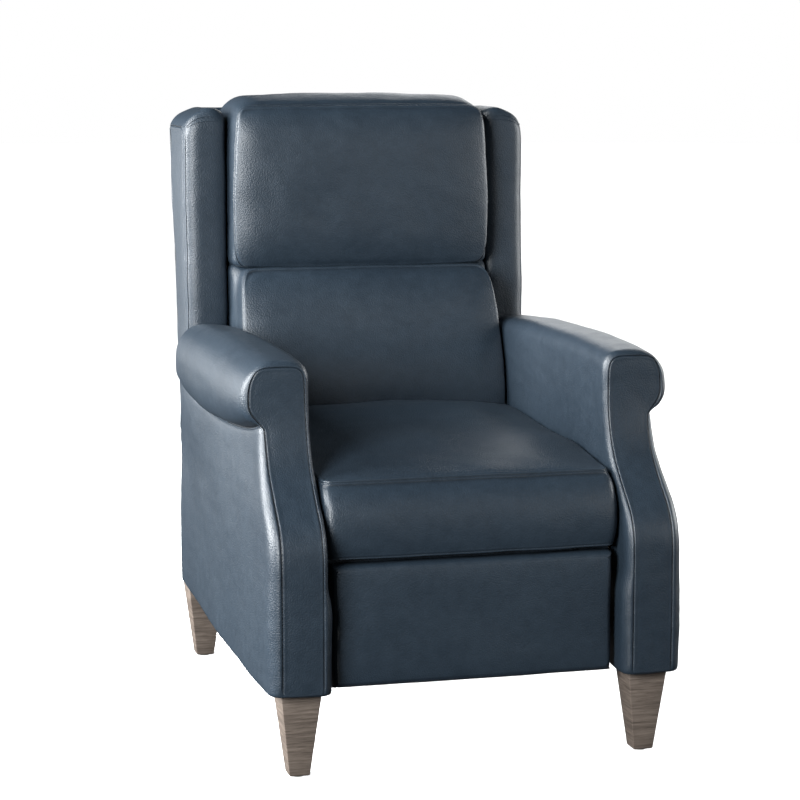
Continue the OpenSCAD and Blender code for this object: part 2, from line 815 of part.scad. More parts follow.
head_cushion();
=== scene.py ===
"""A push-back wing recliner: leather covers, legs, materials, light and camera round the CAD frame."""

import json
from math import pi, radians

import bmesh
import bpy
import numpy as np
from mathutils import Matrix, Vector


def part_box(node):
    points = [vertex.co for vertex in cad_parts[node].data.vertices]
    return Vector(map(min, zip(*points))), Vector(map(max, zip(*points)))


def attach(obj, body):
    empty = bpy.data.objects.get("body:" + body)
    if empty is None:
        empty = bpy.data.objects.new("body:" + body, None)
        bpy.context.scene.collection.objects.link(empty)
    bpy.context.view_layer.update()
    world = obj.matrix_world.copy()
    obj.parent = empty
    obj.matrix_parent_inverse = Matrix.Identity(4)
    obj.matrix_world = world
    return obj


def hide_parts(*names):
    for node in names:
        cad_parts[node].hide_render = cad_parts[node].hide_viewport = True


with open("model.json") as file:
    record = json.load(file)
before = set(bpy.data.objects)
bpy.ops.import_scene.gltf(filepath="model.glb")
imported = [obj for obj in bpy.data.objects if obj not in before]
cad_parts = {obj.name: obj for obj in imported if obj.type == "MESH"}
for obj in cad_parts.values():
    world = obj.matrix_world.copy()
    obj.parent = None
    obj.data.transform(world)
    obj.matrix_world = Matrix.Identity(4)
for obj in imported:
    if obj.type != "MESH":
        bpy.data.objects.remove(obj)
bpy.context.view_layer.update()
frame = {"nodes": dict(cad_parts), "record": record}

MM = 0.001
UP = np.array([0.0, 0.0, 1.0])
FRONT = np.array([0.0, -1.0, 0.0])

# ---------------------------------------------------------------- curves and grids, in millimetres


def spline(xs, ys):
    """A monotone cubic through the points, as a function of x."""
    xs, ys = np.array(xs, float), np.array(ys, float)
    h = np.diff(xs)
    d = np.diff(ys) / h
    m = np.concatenate([d[:1], np.zeros(len(d) - 1), d[-1:]])
    for i in range(1, len(d)):
        if d[i - 1] * d[i] > 0:
            w1, w2 = 2 * h[i] + h[i - 1], h[i] + 2 * h[i - 1]
            m[i] = (w1 + w2) / (w1 / d[i - 1] + w2 / d[i])

    def at(x):
        x = np.clip(x, xs[0], xs[-1])
        i = np.clip(np.searchsorted(xs, x) - 1, 0, len(h) - 1)
        t = (x - xs[i]) / h[i]
        return (
            (1 + 2 * t) * (1 - t) ** 2 * ys[i]
            + t * (1 - t) ** 2 * h[i] * m[i]
            + t * t * (3 - 2 * t) * ys[i + 1]
            + t * t * (t - 1) * h[i] * m[i + 1]
        )

    return at


def smooth(x, low, high):
    """0 below low, 1 above high, and a smooth step between."""
    t = np.clip((x - low) / (high - low), 0, 1)
    return t * t * (3 - 2 * t)


def resample(points, n):
    """n + 1 evenly spaced points along a smooth curve through the given points, or a straight line."""
    p = np.array(points, float)
    if len(p) > 2:
        q = np.vstack([2 * p[0] - p[1], p, 2 * p[-1] - p[-2]])
        fine = []
        for i in range(1, len(q) - 2):
            for t in np.linspace(0, 1, 8, endpoint=False):
                a, b, c, d = q[i - 1 : i + 3]
                square, cube = 2 * a - 5 * b + 4 * c - d, 3 * b - a - 3 * c + d
                fine.append(0.5 * (2 * b + (c - a) * t + square * t**2 + cube * t**3))
        p = np.vstack([fine, p[-1:]])
    s = np.concatenate([[0], np.cumsum(np.linalg.norm(np.diff(p, axis=0), axis=1))])
    at = np.linspace(0, s[-1], n + 1)
    return np.stack([np.interp(at, s, p[:, k]) for k in range(p.shape[1])], 1)


def trace(*runs):
    """A closed outline from runs of (points, segments); each run starts where the last one ends."""
    return np.vstack([resample(p, n)[:-1] for p, n in runs])


def arc(centre, radii, start, end, n=6):
    """n + 1 points along part of an ellipse, between two angles in degrees."""
    a = np.radians(np.linspace(start, end, n + 1))
    return [(centre[0] + radii[0] * np.cos(t), centre[1] + radii[1] * np.sin(t)) for t in a]


def outward(ring, axes):
    """Unit vectors that point out of a closed outline, in the plane of the two axes."""
    a, b = axes
    d = np.roll(ring, -1, 0) - np.roll(ring, 1, 0)
    n = np.zeros_like(ring)
    n[:, a], n[:, b] = d[:, b], -d[:, a]
    nxt = np.roll(ring, -1, 0)
    if np.sum(ring[:, a] * nxt[:, b] - nxt[:, a] * ring[:, b]) < 0:
        n = -n
    return n / np.linalg.norm(n, axis=1)[:, None]


def patch(ring, nu, nv):
    """A grid of (nv + 1) x (nu + 1) points that fills a ring: the Coons patch of its four sides."""
    bottom, right = ring[: nu + 1], ring[nu : nu + nv + 1]
    top = ring[nu + nv : 2 * nu + nv + 1][::-1]
    left = np.vstack([ring[2 * nu + nv :], ring[:1]])[::-1]
    u = np.linspace(0, 1, nu + 1)[None, :, None]
    v = np.linspace(0, 1, nv + 1)[:, None, None]
    corners = (1 - u) * (1 - v) * bottom[0] + u * (1 - v) * bottom[-1]
    corners = corners + (1 - u) * v * top[0] + u * v * top[-1]
    return (1 - v) * bottom[None] + v * top[None] + (1 - u) * left[:, None] + u * right[:, None] - corners


def dome(nu, nv, way):
    """A bulge over a patch along the vector way, highest in the middle and zero along the edges."""
    u = 1 - np.abs(np.linspace(-1, 1, nu + 1)) ** 4
    v = 1 - np.abs(np.linspace(-1, 1, nv + 1)) ** 4
    return (v[:, None] * u[None])[..., None] * np.array(way, float)


def shell(name, rings, nu, nv, bulge=0.0):
    """A closed quad mesh: rings of 2 * (nu + nv) points, with a patch over the first and the last ring.

    The last patch is moved by bulge. The object keeps how many points its rings and its first patch have.
    """
    rings = np.array(rings, float)
    k, n = rings.shape[:2]
    verts = [rings.reshape(-1, 3)]
    j, i = np.meshgrid(np.arange(k - 1), np.arange(n), indexing="ij")
    nxt = (i + 1) % n
    quads = [np.stack([j * n + i, j * n + nxt, (j + 1) * n + nxt, (j + 1) * n + i], -1).reshape(-1, 4)]
    count = k * n
    for row, lift in ((0, 0.0), (k - 1, bulge)):
        grid = patch(rings[row], nu, nv) + lift
        ids = np.zeros((nv + 1, nu + 1), int)
        ids[0] = np.arange(nu + 1)
        ids[:, -1] = nu + np.arange(nv + 1)
        ids[-1, ::-1] = nu + nv + np.arange(nu + 1)
        ids[::-1, 0] = (2 * nu + nv + np.arange(nv + 1)) % n
        ids += row * n
        inner = (nv - 1) * (nu - 1)
        ids[1:-1, 1:-1] = count + np.arange(inner).reshape(nv - 1, nu - 1)
        count += inner
        verts.append(grid[1:-1, 1:-1].reshape(-1, 3))
        quads.append(np.stack([ids[:-1, :-1], ids[:-1, 1:], ids[1:, 1:], ids[1:, :-1]], -1).reshape(-1, 4))
    obj = solid(name, np.vstack(verts), np.vstack(quads).tolist())
    obj["ring_points"], obj["first_patch"] = k * n, (nv - 1) * (nu - 1)
    return obj


def solid(name, verts, faces):
    """A smooth mesh object from points in millimetres."""
    mesh = bpy.data.meshes.new(name)
    mesh.from_pydata((np.array(verts) * MM).tolist(), [], faces)
    bm = bmesh.new()
    bm.from_mesh(mesh)
    bmesh.ops.recalc_face_normals(bm, faces=bm.faces)
    bm.to_mesh(mesh)
    bm.free()
    mesh.shade_smooth()
    obj = bpy.data.objects.new(name, mesh)
    bpy.context.collection.objects.link(obj)
    return obj


def points_of(mesh):
    """The mesh's points as an array, in metres."""
    co = np.empty(len(mesh.vertices) * 3, np.float32)
    mesh.vertices.foreach_get("co", co)
    return co.reshape(-1, 3).astype(float)


def move_points(mesh, co):
    mesh.vertices.foreach_set("co", co.astype(np.float32).ravel())
    mesh.update()


def settle(obj):
    """Applies every modifier on obj."""
    graph = bpy.context.evaluated_depsgraph_get()
    graph.update()
    mesh = bpy.data.meshes.new_from_object(obj.evaluated_get(graph))
    obj.modifiers.clear()
    obj.data = mesh
    mesh.shade_smooth()


def subdivide(obj):
    """Smooths a cover by one level of subdivision."""
    obj.modifiers.new("subdivision", "SUBSURF").levels = 1
    settle(obj)


def pillow(obj, rim, n, height, way, edge):
    """Swells the face inside ring number rim, from nothing at that ring to height in the middle.

    The shape is a soap film's under pressure, levelled off in the middle. A smaller edge makes a boxier pad.
    """
    co = points_of(obj.data) / MM
    tris = []
    for face in obj.data.polygons:
        a, b, c, d = face.vertices
        tris += [(a, b, c), (a, c, d)]
    tris = np.array(tris)
    rows = np.arange(len(co)) // n
    inside = rows <= rim
    patch_size = obj["first_patch"]
    start = obj["ring_points"]
    inside[start:] = False
    inside[start : start + patch_size] = True
    tris = tris[inside[tris].all(1)]
    ids = np.nonzero(inside)[0]
    where = np.full(len(co), -1)
    where[ids] = np.arange(len(ids))
    t = where[tris]
    matrix, mass = np.zeros((len(ids), len(ids))), np.zeros(len(ids))
    for k in range(3):
        i, j, o = t[:, k], t[:, (k + 1) % 3], t[:, (k + 2) % 3]
        u, v = co[ids[i]] - co[ids[o]], co[ids[j]] - co[ids[o]]
        area2 = np.maximum(np.linalg.norm(np.cross(u, v), axis=1), 1e-9)
        weight = np.maximum(0.5 * (u * v).sum(1) / area2, 1e-4)
        for a, b in ((i, j), (j, i)):
            np.add.at(matrix, (a, a), weight)
            np.add.at(matrix, (a, b), -weight)
        np.add.at(mass, i, area2 / 6)
    free = rows[ids] != rim
    free |= ids >= start
    film = np.zeros(len(ids))
    film[free] = np.linalg.solve(matrix[np.ix_(free, free)], mass[free])
    film = (1 - np.exp(-np.maximum(film, 0) / (film.max() * edge))) ** 0.7
    ways = np.broadcast_to(np.array(way, float), (len(co), 3))[ids]
    co[ids] += height * film[:, None] * ways
    move_points(obj.data, co * MM)


def ripple(obj, height, length, seed):
    """Moves the surface in and out by soft irregular waves, about that high and long in millimetres."""
    rng = np.random.default_rng(seed)
    co = points_of(obj.data)
    normals = np.empty(len(co) * 3, np.float32)
    obj.data.vertex_normals.foreach_get("vector", normals)
    total = np.zeros(len(co))
    waves = 18
    for _ in range(waves):
        way = rng.normal(size=3)
        way *= 2 * pi / (np.linalg.norm(way) * length * MM * rng.uniform(0.6, 1.7))
        total += np.sin(co @ way + rng.uniform(0, 2 * pi))
    total *= height * MM / np.sqrt(waves / 2)
    move_points(obj.data, co + normals.reshape(-1, 3) * total[:, None])


CLOTH_FRAMES = 20


def inflate(obj, pinned, cap, pressure, slack):
    """Blows a cover up as cloth while its pinned points hold still.

    No point moves further than cap millimetres, and the movement is evened out over the cover, so that
    it stays free of puckers.
    """
    start = points_of(obj.data)
    group = obj.vertex_groups.new(name="held")
    group.add([int(i) for i in pinned], 1.0, "REPLACE")
    cloth = obj.modifiers.new("cloth", "CLOTH")
    cloth.collision_settings.use_collision = False
    cloth.collision_settings.use_self_collision = False
    cloth.point_cache.frame_start, cloth.point_cache.frame_end = 1, CLOTH_FRAMES
    s = cloth.settings
    s.quality = 6
    s.use_pressure = True
    s.uniform_pressure_force = pressure
    s.effector_weights.gravity = 0
    s.vertex_group_mass = "held"
    s.pin_stiffness = 5
    s.tension_stiffness = s.compression_stiffness = 30
    s.shear_stiffness = 12
    s.bending_stiffness = 6
    s.shrink_min = -slack
    scene = bpy.context.scene
    for number in range(1, CLOTH_FRAMES + 1):
        scene.frame_set(number)
    graph = bpy.context.evaluated_depsgraph_get()
    end = points_of(obj.evaluated_get(graph).data)
    moved = end - start
    far = np.linalg.norm(moved, axis=1)[:, None]
    moved *= np.minimum(1, cap * MM / np.maximum(far, 1e-9))
    edges = np.empty(len(obj.data.edges) * 2, np.int32)
    obj.data.edges.foreach_get("vertices", edges)
    a, b = edges.reshape(-1, 2).T
    count = np.bincount(edges, minlength=len(start))[:, None]
    for _ in range(6):
        around = np.zeros_like(moved)
        np.add.at(around, a, moved[b])
        np.add.at(around, b, moved[a])
        moved = 0.4 * moved + 0.6 * around / count
        moved[list(pinned)] = 0
    obj.modifiers.clear()
    obj.vertex_groups.clear()
    move_points(obj.data, start + moved)
    scene.frame_set(1)


# ---------------------------------------------------------------- materials


class Nodes:
    """Builds a node material around its Principled shader."""

    def __init__(self, name):
        self.material = bpy.data.materials.new(name)
        self.material.use_nodes = True
        self.tree = self.material.node_tree
        self.shader = self.tree.nodes["Principled BSDF"]
        self.coords = self.add("ShaderNodeTexCoord").outputs["Object"]

    def add(self, kind, inputs=(), **settings):
        node = self.tree.nodes.new(kind)
        for key, value in settings.items():
            setattr(node, key, value)
        for key, value in dict(inputs).items():
            self.put(node.inputs[key], value)
        return node

    def put(self, socket, value):
        if isinstance(value, bpy.types.NodeSocket):
            self.tree.links.new(value, socket)
        else:
            socket.default_value = value

    def noise(self, scale, detail=2.0, rough=0.5, stretch=(1, 1, 1), distortion=0.0):
        """Noise with that many features to the metre."""
        vector = self.coords
        if stretch != (1, 1, 1):
            vector = self.add("ShaderNodeMapping", {"Vector": vector, "Scale": stretch}).outputs[0]
        node = self.add(
            "ShaderNodeTexNoise",
            {
                "Vector": vector, "Scale": scale, "Detail": detail, "Roughness": rough,
                "Distortion": distortion,
            },
        )
        return node.outputs[0]

    def cells(self, scale, smoothness):
        """The distance from the middle of soft-edged cells, with that many to the metre."""
        node = self.add(
            "ShaderNodeTexVoronoi",
            {"Vector": self.coords, "Scale": scale, "Smoothness": smoothness},
            feature="SMOOTH_F1",
        )
        return node.outputs["Distance"]

    def span(self, value, low, high, to_low, to_high):
        """The value, with low to high stretched onto to_low to to_high."""
        return self.add("ShaderNodeMapRange", {0: value, 1: low, 2: high, 3: to_low, 4: to_high}).outputs[0]

    def math(self, how, a, b):
        return self.add("ShaderNodeMath", {0: a, 1: b}, operation=how).outputs[0]

    def mix(self, share, a, b, how="MIX"):
        node = self.add("ShaderNodeMix", data_type="RGBA", blend_type=how)
        for key, value in (("Factor_Float", share), ("A_Color", a), ("B_Color", b)):
            socket = next(s for s in node.inputs if s.identifier == key)
            self.put(socket, value)
        return next(s for s in node.outputs if s.identifier == "Result_Color")

    def shade(self, color, value):
        """The colour times a grey value."""
        grey = self.add("ShaderNodeCombineColor", {0: value, 1: value, 2: value}).outputs[0]
        return self.mix(1.0, color, grey, "MULTIPLY")

    def bump(self, height, strength, distance, below=None):
        node = self.add("ShaderNodeBump", {"Height": height, "Strength": strength, "Distance": distance})
        if below is not None:
            self.put(node.inputs["Normal"], below)
        return node.outputs[0]

    def done(self, color, rough, normal=None, metallic=0.0, **fixed):
        self.put(self.shader.inputs["Base Color"], color)
        self.put(self.shader.inputs["Roughness"], rough)
        self.put(self.shader.inputs["Metallic"], metallic)
        if normal is not None:
            self.put(self.shader.inputs["Normal"], normal)
        for key, value in fixed.items():
            self.shader.inputs[key.replace("_", " ")].default_value = value
        return self.material


def leather(name):
    """Semi-gloss pebbled leather, with shade painted into its creases and a little worn along its raised
    edges.
    """
    n = Nodes(name)
    base = (0.0172, 0.0290, 0.0435, 1)
    worn = (0.0255, 0.0400, 0.057, 1)
    drift = n.noise(5, 3.0, 0.55)
    mottle = n.noise(55, 3.0, 0.6)
    color = n.mix(n.span(drift, 0.35, 0.65, 0.0, 0.5), base, worn)
    color = n.shade(color, n.span(mottle, 0.3, 0.7, 0.92, 1.08))
    point = n.add("ShaderNodeNewGeometry").outputs["Pointiness"]
    # Painted shade: the colour is darkened where the surface folds inwards, in creases and along seams
    color = n.shade(color, n.span(point, 0.44, 0.50, 0.35, 1.0))
    color = n.mix(n.span(point, 0.53, 0.60, 0.0, 0.25), color, worn)
    pebble = n.cells(400, 0.3)
    pores = n.noise(1300, 2.0, 0.6)
    color = n.shade(color, n.span(pebble, 0.1, 0.75, 1.06, 0.86))
    rough = n.math("ADD", n.span(mottle, 0.3, 0.7, 0.37, 0.42), n.span(pebble, 0.1, 0.8, 0.0, 0.06))
    soft = n.noise(24, 4.0, 0.55, distortion=0.6)
    normal = n.bump(soft, 0.12, 0.003)
    normal = n.bump(n.math("MULTIPLY", pebble, -1.0), 0.42, 0.0010, normal)
    normal = n.bump(pores, 0.12, 0.0004, normal)
    return n.done(color, rough, normal, Specular_IOR_Level=0.6, Coat_Weight=0.06, Coat_Roughness=0.28)


def wood(name, light, dark, along, rough=0.55):
    """Grain stretched along the named axes, with pores and darker streaks."""
    n = Nodes(name)
    stretch = tuple(0.06 if k in along else 1.0 for k in "xyz")
    grain = n.noise(230, 5.0, 0.66, stretch, 0.4)
    streak = n.noise(45, 3.0, 0.5, stretch, 1.2)
    pores = n.noise(900, 2.0, 0.7, stretch)
    color = n.mix(n.span(grain, 0.34, 0.66, 0.0, 1.0), dark + (1,), light + (1,))
    color = n.shade(color, n.span(streak, 0.3, 0.7, 0.80, 1.14))
    color = n.shade(color, n.span(pores, 0.3, 0.5, 0.78, 1.0))
    point = n.add("ShaderNodeNewGeometry").outputs["Pointiness"]
    color = n.mix(n.span(point, 0.54, 0.64, 0.0, 0.35), color, tuple(min(1, 1.2 * c) for c in light) + (1,))
    normal = n.bump(n.math("ADD", grain, n.math("MULTIPLY", pores, 0.5)), 0.45, 0.0007)
    gloss = n.span(grain, 0.3, 0.7, rough + 0.08, rough - 0.06)
    return n.done(color, gloss, normal, Specular_IOR_Level=0.35)


def metal(name, color, rough, worn=0.25, scale=60, metallic=1.0):
    """Painted or plated metal, with fine brushing and blotches of wear."""
    n = Nodes(name)
    blotch = n.noise(scale, 4.0, 0.6)
    brush = n.noise(700, 2.0, 0.5, (1, 0.05, 1))
    bright = tuple(min(1, c * 1.5 + 0.04) for c in color) + (1,)
    tone = n.mix(n.span(blotch, 0.42, 0.68, 0.0, worn), color + (1,), bright)
    tone = n.shade(tone, n.span(brush, 0.3, 0.7, 0.9, 1.06))
    normal = n.bump(brush, 0.08, 0.0002)
    return n.done(tone, n.span(blotch, 0.3, 0.7, rough - 0.06, rough + 0.1), normal, metallic)


def woven(name, color, pitch):
    """A plain open weave of crossing threads."""
    n = Nodes(name)
    waves = [
        n.add(
            "ShaderNodeTexWave",
            {"Vector": n.coords, "Scale": pitch, "Distortion": 0.6, "Detail": 1.0},
            bands_direction=axis,
        ).outputs["Fac"]
        for axis in ("X", "Y")
    ]
    weave = n.math("MAXIMUM", *waves)
    tone = n.shade(color + (1,), n.span(weave, 0.2, 1.0, 0.45, 1.3))
    tone = n.shade(tone, n.span(n.noise(40, 3.0), 0.3, 0.7, 0.8, 1.2))
    return n.done(tone, 0.85, n.bump(weave, 0.5, 0.0005), Specular_IOR_Level=0.2)


def moulded(name, color):
    """Matt moulded plastic with a faint grain."""
    n = Nodes(name)
    grain = n.noise(900, 2.0, 0.6)
    tone = n.shade(color + (1,), n.span(n.noise(30, 2.0), 0.3, 0.7, 0.92, 1.04))
    return n.done(tone, n.span(grain, 0.3, 0.7, 0.42, 0.52), n.bump(grain, 0.15, 0.0002))


HIDE = leather("leather_main")
LOOKS = {
    "leather": HIDE,
    "leg_wood": wood("wood_weathered", (0.235, 0.190, 0.158), (0.105, 0.082, 0.067), "xy"),
    "frame_wood": wood("wood_frame", (0.50, 0.36, 0.21), (0.33, 0.22, 0.11), "y", 0.6),
    "mechanism_steel": metal("steel_painted", (0.045, 0.045, 0.05), 0.42, 0.35, 80, 0.6),
    "zinc_hardware": metal("zinc_plated", (0.58, 0.58, 0.60), 0.34),
    "spring_wire": metal("wire_oiled", (0.22, 0.21, 0.21), 0.38, 0.4, 45),
    "nylon": moulded("nylon_block", (0.66, 0.65, 0.60)),
    "deck_cloth": woven("cloth_black", (0.030, 0.030, 0.033), 900),
}

for part in frame["record"]["subparts"]:
    node = frame["nodes"][part["node"]]
    for place in node.material_slots:
        place.material = LOOKS[part["material_slot"]]


def upholster(obj, body, replaced, seed, waves):
    """Gives a finished cover its soft unevenness, its leather, and its place on the frame."""
    for number, (height, length) in enumerate(waves):
        ripple(obj, height, length, seed * 7 + number)
    obj.data.materials.clear()
    obj.data.materials.append(HIDE)
    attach(obj, body)
    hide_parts(*replaced)
    return obj


# Rings beside a seam on a face: (distance outwards, height over the face), up to the crease
FACE_SIDE = ((-7.5, 1.3), (-5, 1.4), (-3.4, 1.5), (-1.9, 1.3), (-0.8, 0.5))
CREASE = -1.5
# Past the edge of a boxed cushion: (distance back from the face, height over the boxing)
BOX_SIDE = ((1.1, 0.7), (2.6, 1.2), (5, 0.9), (9, 0.5))


def boxed_edge(seam, across, out):
    """Rings from a cushion's face, over its edge seam, onto its boxing."""
    rings = [seam + a * across + h * out for a, h in FACE_SIDE]
    rings.append(seam + 0.8 * CREASE * (across + out))
    rings += [seam - b * out + h * across for b, h in BOX_SIDE]
    return rings


# The ring at the bottom of a seam's crease, and the rings that its stitches hold
CREASE_ROW = len(FACE_SIDE)
SEAM_ROWS = list(range(CREASE_ROW - 2, CREASE_ROW + 3))


def ring_ids(rows, n):
    """The numbers of the points in those rings of n points each."""
    return [row * n + i for row in rows for i in range(n)]


# ---------------------------------------------------------------- arms

ARM_INNER = 262
ARM_OUTER = 364
ARM_FOOT = 145
ROLL_MID_Z = 624
ROLL_UNDER_X, ROLL_TOP_X = 355, 323
ROLL_START, ROLL_END = -385, 300
arm_front = spline(
    [140, 360, 372, 396, 428, 454, 486, 520, 560, 600, 640, 700],
    [-515, -515, -514.6, -511, -495, -467, -434, -406, -389, -381, -379, -379],
)
arm_outer = spline([-520, -435, -214, -14, 220, 344, 430], [364, 364, 362, 359, 350, 346, 344])
roll_top = spline([-398, -325, -169, 55, 175, 283, 310], [691, 696, 700, 698, 694, 687, 684])
roll_under = spline([-385, -365, -271, -156, 5, 155, 277, 310], [584, 579, 564, 554, 547, 550, 564, 570])
roll_outer = spline([-385, -300, -100, 100, 250, 310], [382, 386, 387, 385, 381, 376])


def arm_rear(z):
    return np.interp(z, [0, 441, 558, 600, 710], [430, 430, 316, 313, 308])


def arm_counts():
    """Segments of the arm's section: across it, and up its side.

    The side's are for the panel, the neck, the roll's underside and the roll's top.
    """
    return 10, (30, 3, 9, 7)


def front_swell(x, z):
    """How far the arm's inner front edge stands in towards the footrest, below the seat."""
    return 7.5 * (1 - smooth(x, ARM_INNER, ARM_INNER + 14)) * (1 - smooth(z, 285, 332))


def facing_outline():
    """The seam round the arm's front facing, seen from the front."""
    nu, (low, neck, lobe, crown) = arm_counts()
    return trace(
        ([(271.5, 150), (305, 149.5), (341, 150)], nu),
        ([(341, 150), (341, 372), (341, 545), (342, 572)], low),
        ([(342, 572), (342.6, 575.5), (344.2, 579)], neck),
        ([(344.2, 579), (350, 588), (358, 597), (364.5, 607), (367, 618), (367, 628)], lobe),
        ([(367, 628), (366, 645), (362, 661), (354, 675)], crown),
        ([(354, 675), (345, 679.3), (335, 680.5), (300, 680.5), (286, 679.5), (276.5, 673.5)], nu),
        ([(276.5, 673.5), (272.4, 664), (270.9, 645), (270.7, 628)], crown),
        ([(270.7, 628), (269.7, 579)], lobe),
        ([(269.7, 579), (269.8, 572)], neck),
        ([(269.8, 572), (270.8, 480), (271.5, 372), (271.5, 150)], low),
    )


def arm_outline(y):
    """The arm's section where the roll is at y: an upright panel and the padded roll over it."""
    nu, (low, neck, lobe, crown) = arm_counts()
    top, under, out = roll_top(y), roll_under(y), roll_outer(y)
    inner, foot, reach = ARM_INNER, ARM_FOOT, 30
    inner_low, outer_low = (inner + 2.6, foot + 2.6), (ARM_OUTER - 2.6, foot + 2.6)
    neck_low = (352, under - 4)
    middle, crown_radii = (ROLL_TOP_X, ROLL_MID_Z), (out - ROLL_TOP_X, top - ROLL_MID_Z)
    lower = arc((ROLL_UNDER_X, ROLL_MID_Z), (out - ROLL_UNDER_X, ROLL_MID_Z - under - 1), -76, 0)
    upper = arc(middle, crown_radii, 0, 46)
    over = arc(middle, crown_radii, 46, 90, 4)
    shoulder = arc((inner + reach, top - reach - 1.5), (reach, reach), 90, 135, 4)
    inside = arc((inner + reach, top - reach - 1.5), (reach, reach), 135, 180, 4)
    return trace(
        ([inner_low, (inner + 9, foot + 0.1), (305, foot), (355, foot + 0.1), outer_low], nu),
        ([outer_low, (ARM_OUTER, foot + 9), (ARM_OUTER, 300), (361, 430), (355.5, 510), neck_low], low),
        ([neck_low, (344, under - 0.5), (353, under + 1)], neck),
        ([(353, under + 1)] + lower[1:], lobe),
        (upper, crown),
        (over + shoulder, nu),
        (inside + [(inner, ROLL_MID_Z)], crown),
        ([(inner, ROLL_MID_Z), (inner, under + 1)], lobe),
        ([(inner, under + 1), (inner, under - 4)], neck),
        ([(inner, under - 4), (inner, 300), (inner, foot + 9), inner_low], low),
    )


def arm(side, name, replaced, seed):
    """An arm's whole cover: its stitched front facing, its panel, and its roll with a sewn-in rear end."""
    nu, counts = arm_counts()
    nv = sum(counts)
    seam = facing_outline()
    flat = np.insert(seam, 1, 0.0, axis=1)
    flat[:, 1] = arm_front(seam[:, 1])
    across = outward(flat, (0, 2))
    slope = (arm_front(seam[:, 1] + 4) - arm_front(seam[:, 1] - 4)) / 8
    out = np.stack([0 * slope, -1 + 0 * slope, slope], 1)
    out /= np.linalg.norm(out, axis=1)[:, None]

    sewn = smooth(seam[:, 1], 150, 160)[:, None]

    def facing_ring(inset, lift):
        ring = flat - inset * across
        ring[:, 1] = arm_front(ring[:, 2])
        return ring + (lift * sewn + FACE_SIDE[0][1] * (1 - sewn)) * out

    start = arm_outline(ROLL_START)
    gap = np.linalg.norm(start - seam, axis=1)
    fine = np.clip(gap / 13, 0.5, 1)[:, None]
    rings = [facing_ring(-a, h) for a, h in FACE_SIDE]
    rings.append(flat + (CREASE * fine * sewn + 0.9 * (1 - sewn)) * out)
    round_d = np.clip(gap * 1.4, 9, 34)
    for q, lift in (
        (0.06, 0.7), (0.13, 1.7), (0.24, 2.1), (0.4, 1.7), (0.57, 1.1), (0.73, 0.6), (0.87, 0.2),
        (0.95, 0), (1, 0),
    ):
        xz = seam + (start - seam) * q
        y = arm_front(xz[:, 1]) + round_d * (1 - np.sqrt(1 - q * q))
        ring = np.stack([xz[:, 0] - q * front_swell(start[:, 0], start[:, 1]), y, xz[:, 1]], 1)
        rings.append(ring + lift * fine * sewn * out)

    def section(t, inset=0.0, back=None):
        xz = arm_outline(ROLL_START + t * (ROLL_END - ROLL_START))
        z = xz[:, 1]
        y0 = arm_front(z) + round_d
        rear_round = 10 + 36 * smooth(z, 565, 625)
        y1 = arm_rear(z) - rear_round
        y = y0 + (y1 - y0) * t
        ring = np.stack([xz[:, 0], y, z], 1)
        ring[:, 0] -= front_swell(ring[:, 0], z) * (1 - smooth(y, -470, -390))
        across_arm = np.clip((xz[:, 0] - ARM_INNER) / 90, 0, 1)
        ring[:, 0] -= (ARM_OUTER - arm_outer(y)) * (1 - smooth(z, 400, 560)) * across_arm
        if back is not None:
            depth = 6 + 20 * smooth(z, 565, 625)
            ring -= outward(ring, (0, 2)) * (depth * inset)[:, None]
            ring[:, 1] += rear_round * back
        return ring

    rings += [section(t) for t in np.linspace(0, 1, 30)[1:]]
    for degrees, lift in (
        (12, 0.4), (22, 1.0), (27, -1.8), (32, 1.0), (42, 0.8), (48, -1.6), (54, 0.8), (68, 0.2),
        (80, 0), (90, 0),
    ):
        a = radians(degrees)
        ring = section(1.0, 1 - np.cos(a), np.sin(a))
        ring += lift * outward(ring, (0, 2))
        rings.append(ring)

    obj = shell(name, rings, nu, nv, dome(nu, nv, (0, 2.5, 0)))
    flush(obj, lambda co: arm_front(co[:, 2]) - FACE_SIDE[0][1])
    pillow(obj, 0, len(seam), 1.6, FRONT, 0.8)
    if side < 0:
        mirror(obj)
    subdivide(obj)
    return upholster(obj, "base", replaced, seed, ((0.5, 150), (0.15, 45)))


def flush(obj, face_y):
    """Puts the points inside a face's first ring on the surface y = face_y."""
    co = points_of(obj.data) / MM
    start, count = obj["ring_points"], obj["first_patch"]
    inner = co[start : start + count]
    inner[:, 1] = face_y(inner)
    move_points(obj.data, co * MM)


def mirror(obj):
    """Turns a right-hand piece into a left-hand one."""
    co = points_of(obj.data)
    co[:, 0] *= -1
    obj.data.flip_normals()
    move_points(obj.data, co)


arms = {}
for side, word in ((-1, "left"), (1, "right")):
    arms[side] = arm(side, "arm_leather_" + word, ("arm_cover_" + word, "arm_roll_" + word), 3 + side)


def welt(name, on, body, line, radius, pieces=60):
    """A thin stitched welt laid on a cover along a line, tapering away at its ends."""
    way = resample(line, pieces) * MM
    tangents = np.gradient(way, axis=0)
    tangents /= np.linalg.norm(tangents, axis=1)[:, None]
    turns = np.linspace(0, 2 * pi, 8, endpoint=False)
    verts = []
    for k, (place, along) in enumerate(zip(way, tangents)):
        _, hit, normal, _ = on.closest_point_on_mesh(place)
        out = np.array(normal)
        beside = np.cross(along, out)
        r = radius * MM * min(1, 0.25 + 0.25 * min(k, pieces - 1 - k)) * (1 + 0.06 * np.sin(1.9 * k))
        verts += [np.array(hit) + r * (np.cos(t) * beside + (0.35 + np.sin(t)) * out) for t in turns]
    n = len(turns)
    faces = [
        (k * n + j, k * n + (j + 1) % n, (k + 1) * n + (j + 1) % n, (k + 1) * n + j)
        for k in range(len(way) - 1) for j in range(n)
    ]
    faces += [tuple(range(n)), tuple(range(len(verts) - n, len(verts)))]
    obj = solid(name, np.array(verts) / MM, faces)
    obj.data.materials.append(HIDE)
    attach(obj, body)
    return obj


